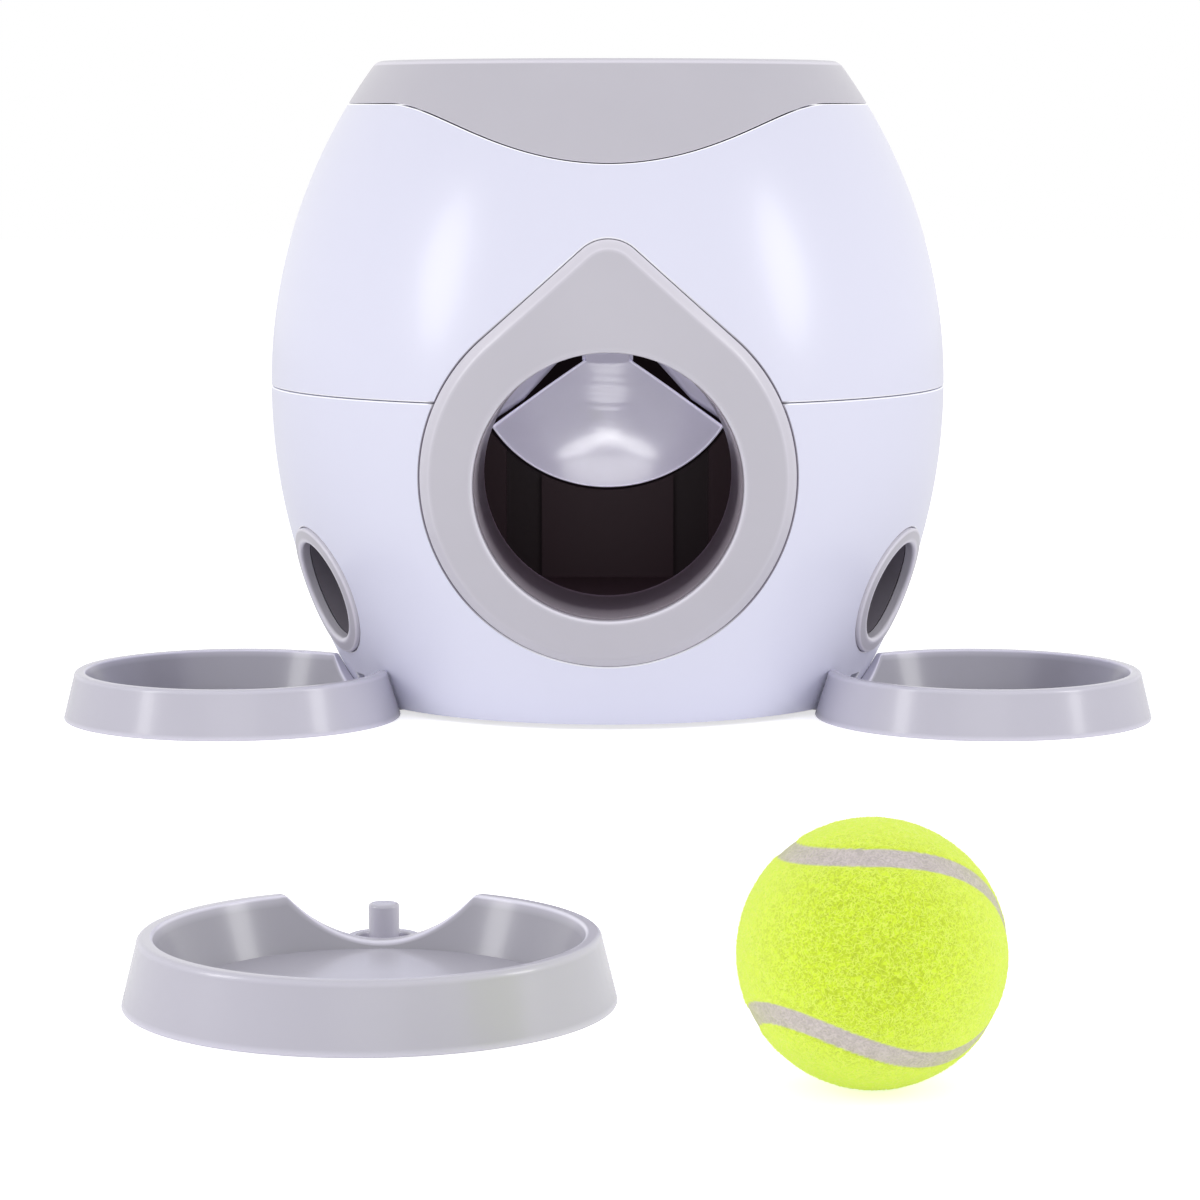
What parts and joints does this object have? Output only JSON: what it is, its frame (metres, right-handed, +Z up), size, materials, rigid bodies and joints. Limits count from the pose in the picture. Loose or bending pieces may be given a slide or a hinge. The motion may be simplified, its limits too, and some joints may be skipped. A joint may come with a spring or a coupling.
{
  "type": "ball drop treat machine",
  "caption": "Barrel-shaped fetch machine: a ball dropped in the top turns a bladed rotor, treats fall in side trays and the ball rolls out of a round front exit.",
  "frame": {"origin": "on the floor at the axis of the barrel body", "axes": "+Z up, the ball exit faces -Y, +X to the right seen from the front"},
  "size_m": [0.4184, 0.8255, 0.251],
  "materials": {
    "white_shell": "glossy moulded",
    "grey_trim": "satin moulded",
    "tray_grey": "satin moulded",
    "dark_inner": "dark glossy",
    "clear_grey": "glossy translucent",
    "inner_grey": "matte moulded",
    "drum_white": "matte moulded",
    "steel": "bright zinc",
    "bush_brass": "turned",
    "foot_rubber": "soft",
    "ball_felt": "felt with a pale seam",
    "ball_rubber": "hollow"
  },
  "bodies": {
    "root": {"lower_shell": "white_shell", "upper_shell": "white_shell", "top_collar": "grey_trim", "front_bezel": "grey_trim", "side_bezel_left": "grey_trim", "side_bezel_right": "grey_trim", "outlet_sleeve": "dark_inner", "ball_chamber": "dark_inner", "ball_ramp": "dark_inner", "cheek_left": "clear_grey", "cheek_right": "clear_grey", "drum_housing_left": "inner_grey", "drum_housing_right": "inner_grey", "treat_bin_left": "inner_grey", "treat_bin_right": "inner_grey", "treat_chute_left": "inner_grey", "treat_chute_right": "inner_grey", "base_plate": "inner_grey", "shaft_bush_left": "bush_brass", "shaft_bush_right": "bush_brass", "base_feet": "foot_rubber", "base_screws": "steel", "chamber_screws": "steel", "shell_screws": "steel"},
    "rotor": {"rotor_blade_1": "clear_grey", "rotor_blade_2": "clear_grey", "rotor_blade_3": "clear_grey", "rotor_hub": "clear_grey", "rotor_shaft": "steel", "shaft_clips": "steel", "dosing_drum_left": "drum_white", "dosing_drum_right": "drum_white"},
    "funnel": {"funnel_bowl": "grey_trim"},
    "left_tray": {"tray_left": "tray_grey", "tray_left_peg": "tray_grey"},
    "right_tray": {"tray_right": "tray_grey", "tray_right_peg": "tray_grey"},
    "loose_tray": {"tray_loose": "tray_grey", "tray_loose_peg": "tray_grey"},
    "ball": {"ball_felt": "ball_felt", "ball_core": "ball_rubber"}
  },
  "joints": [
    {"name": "rotor_spin", "type": "hinge", "parent": "root", "child": "rotor", "pos_m": [0, -0.005, 0.14], "axis": [1, 0, 0], "continuous": true},
    {"name": "funnel_lift", "type": "slide", "parent": "root", "child": "funnel", "axis": [0, 0, 1], "range_m": [0, 0.08]},
    {"name": "left_tray_slide", "type": "slide", "parent": "root", "child": "left_tray", "axis": [-0.9205, -0.3907, 0], "range_m": [0, 0.028]},
    {"name": "right_tray_slide", "type": "slide", "parent": "root", "child": "right_tray", "axis": [0.9205, -0.3907, 0], "range_m": [0, 0.028]},
    {"name": "loose_tray_lift", "type": "slide", "parent": "root", "child": "loose_tray", "axis": [0, 0, 1], "range_m": [0, 0.04]},
    {"name": "ball_lift", "type": "slide", "parent": "root", "child": "ball", "axis": [0, 0, 1], "range_m": [0, 0.08]}
  ]
}
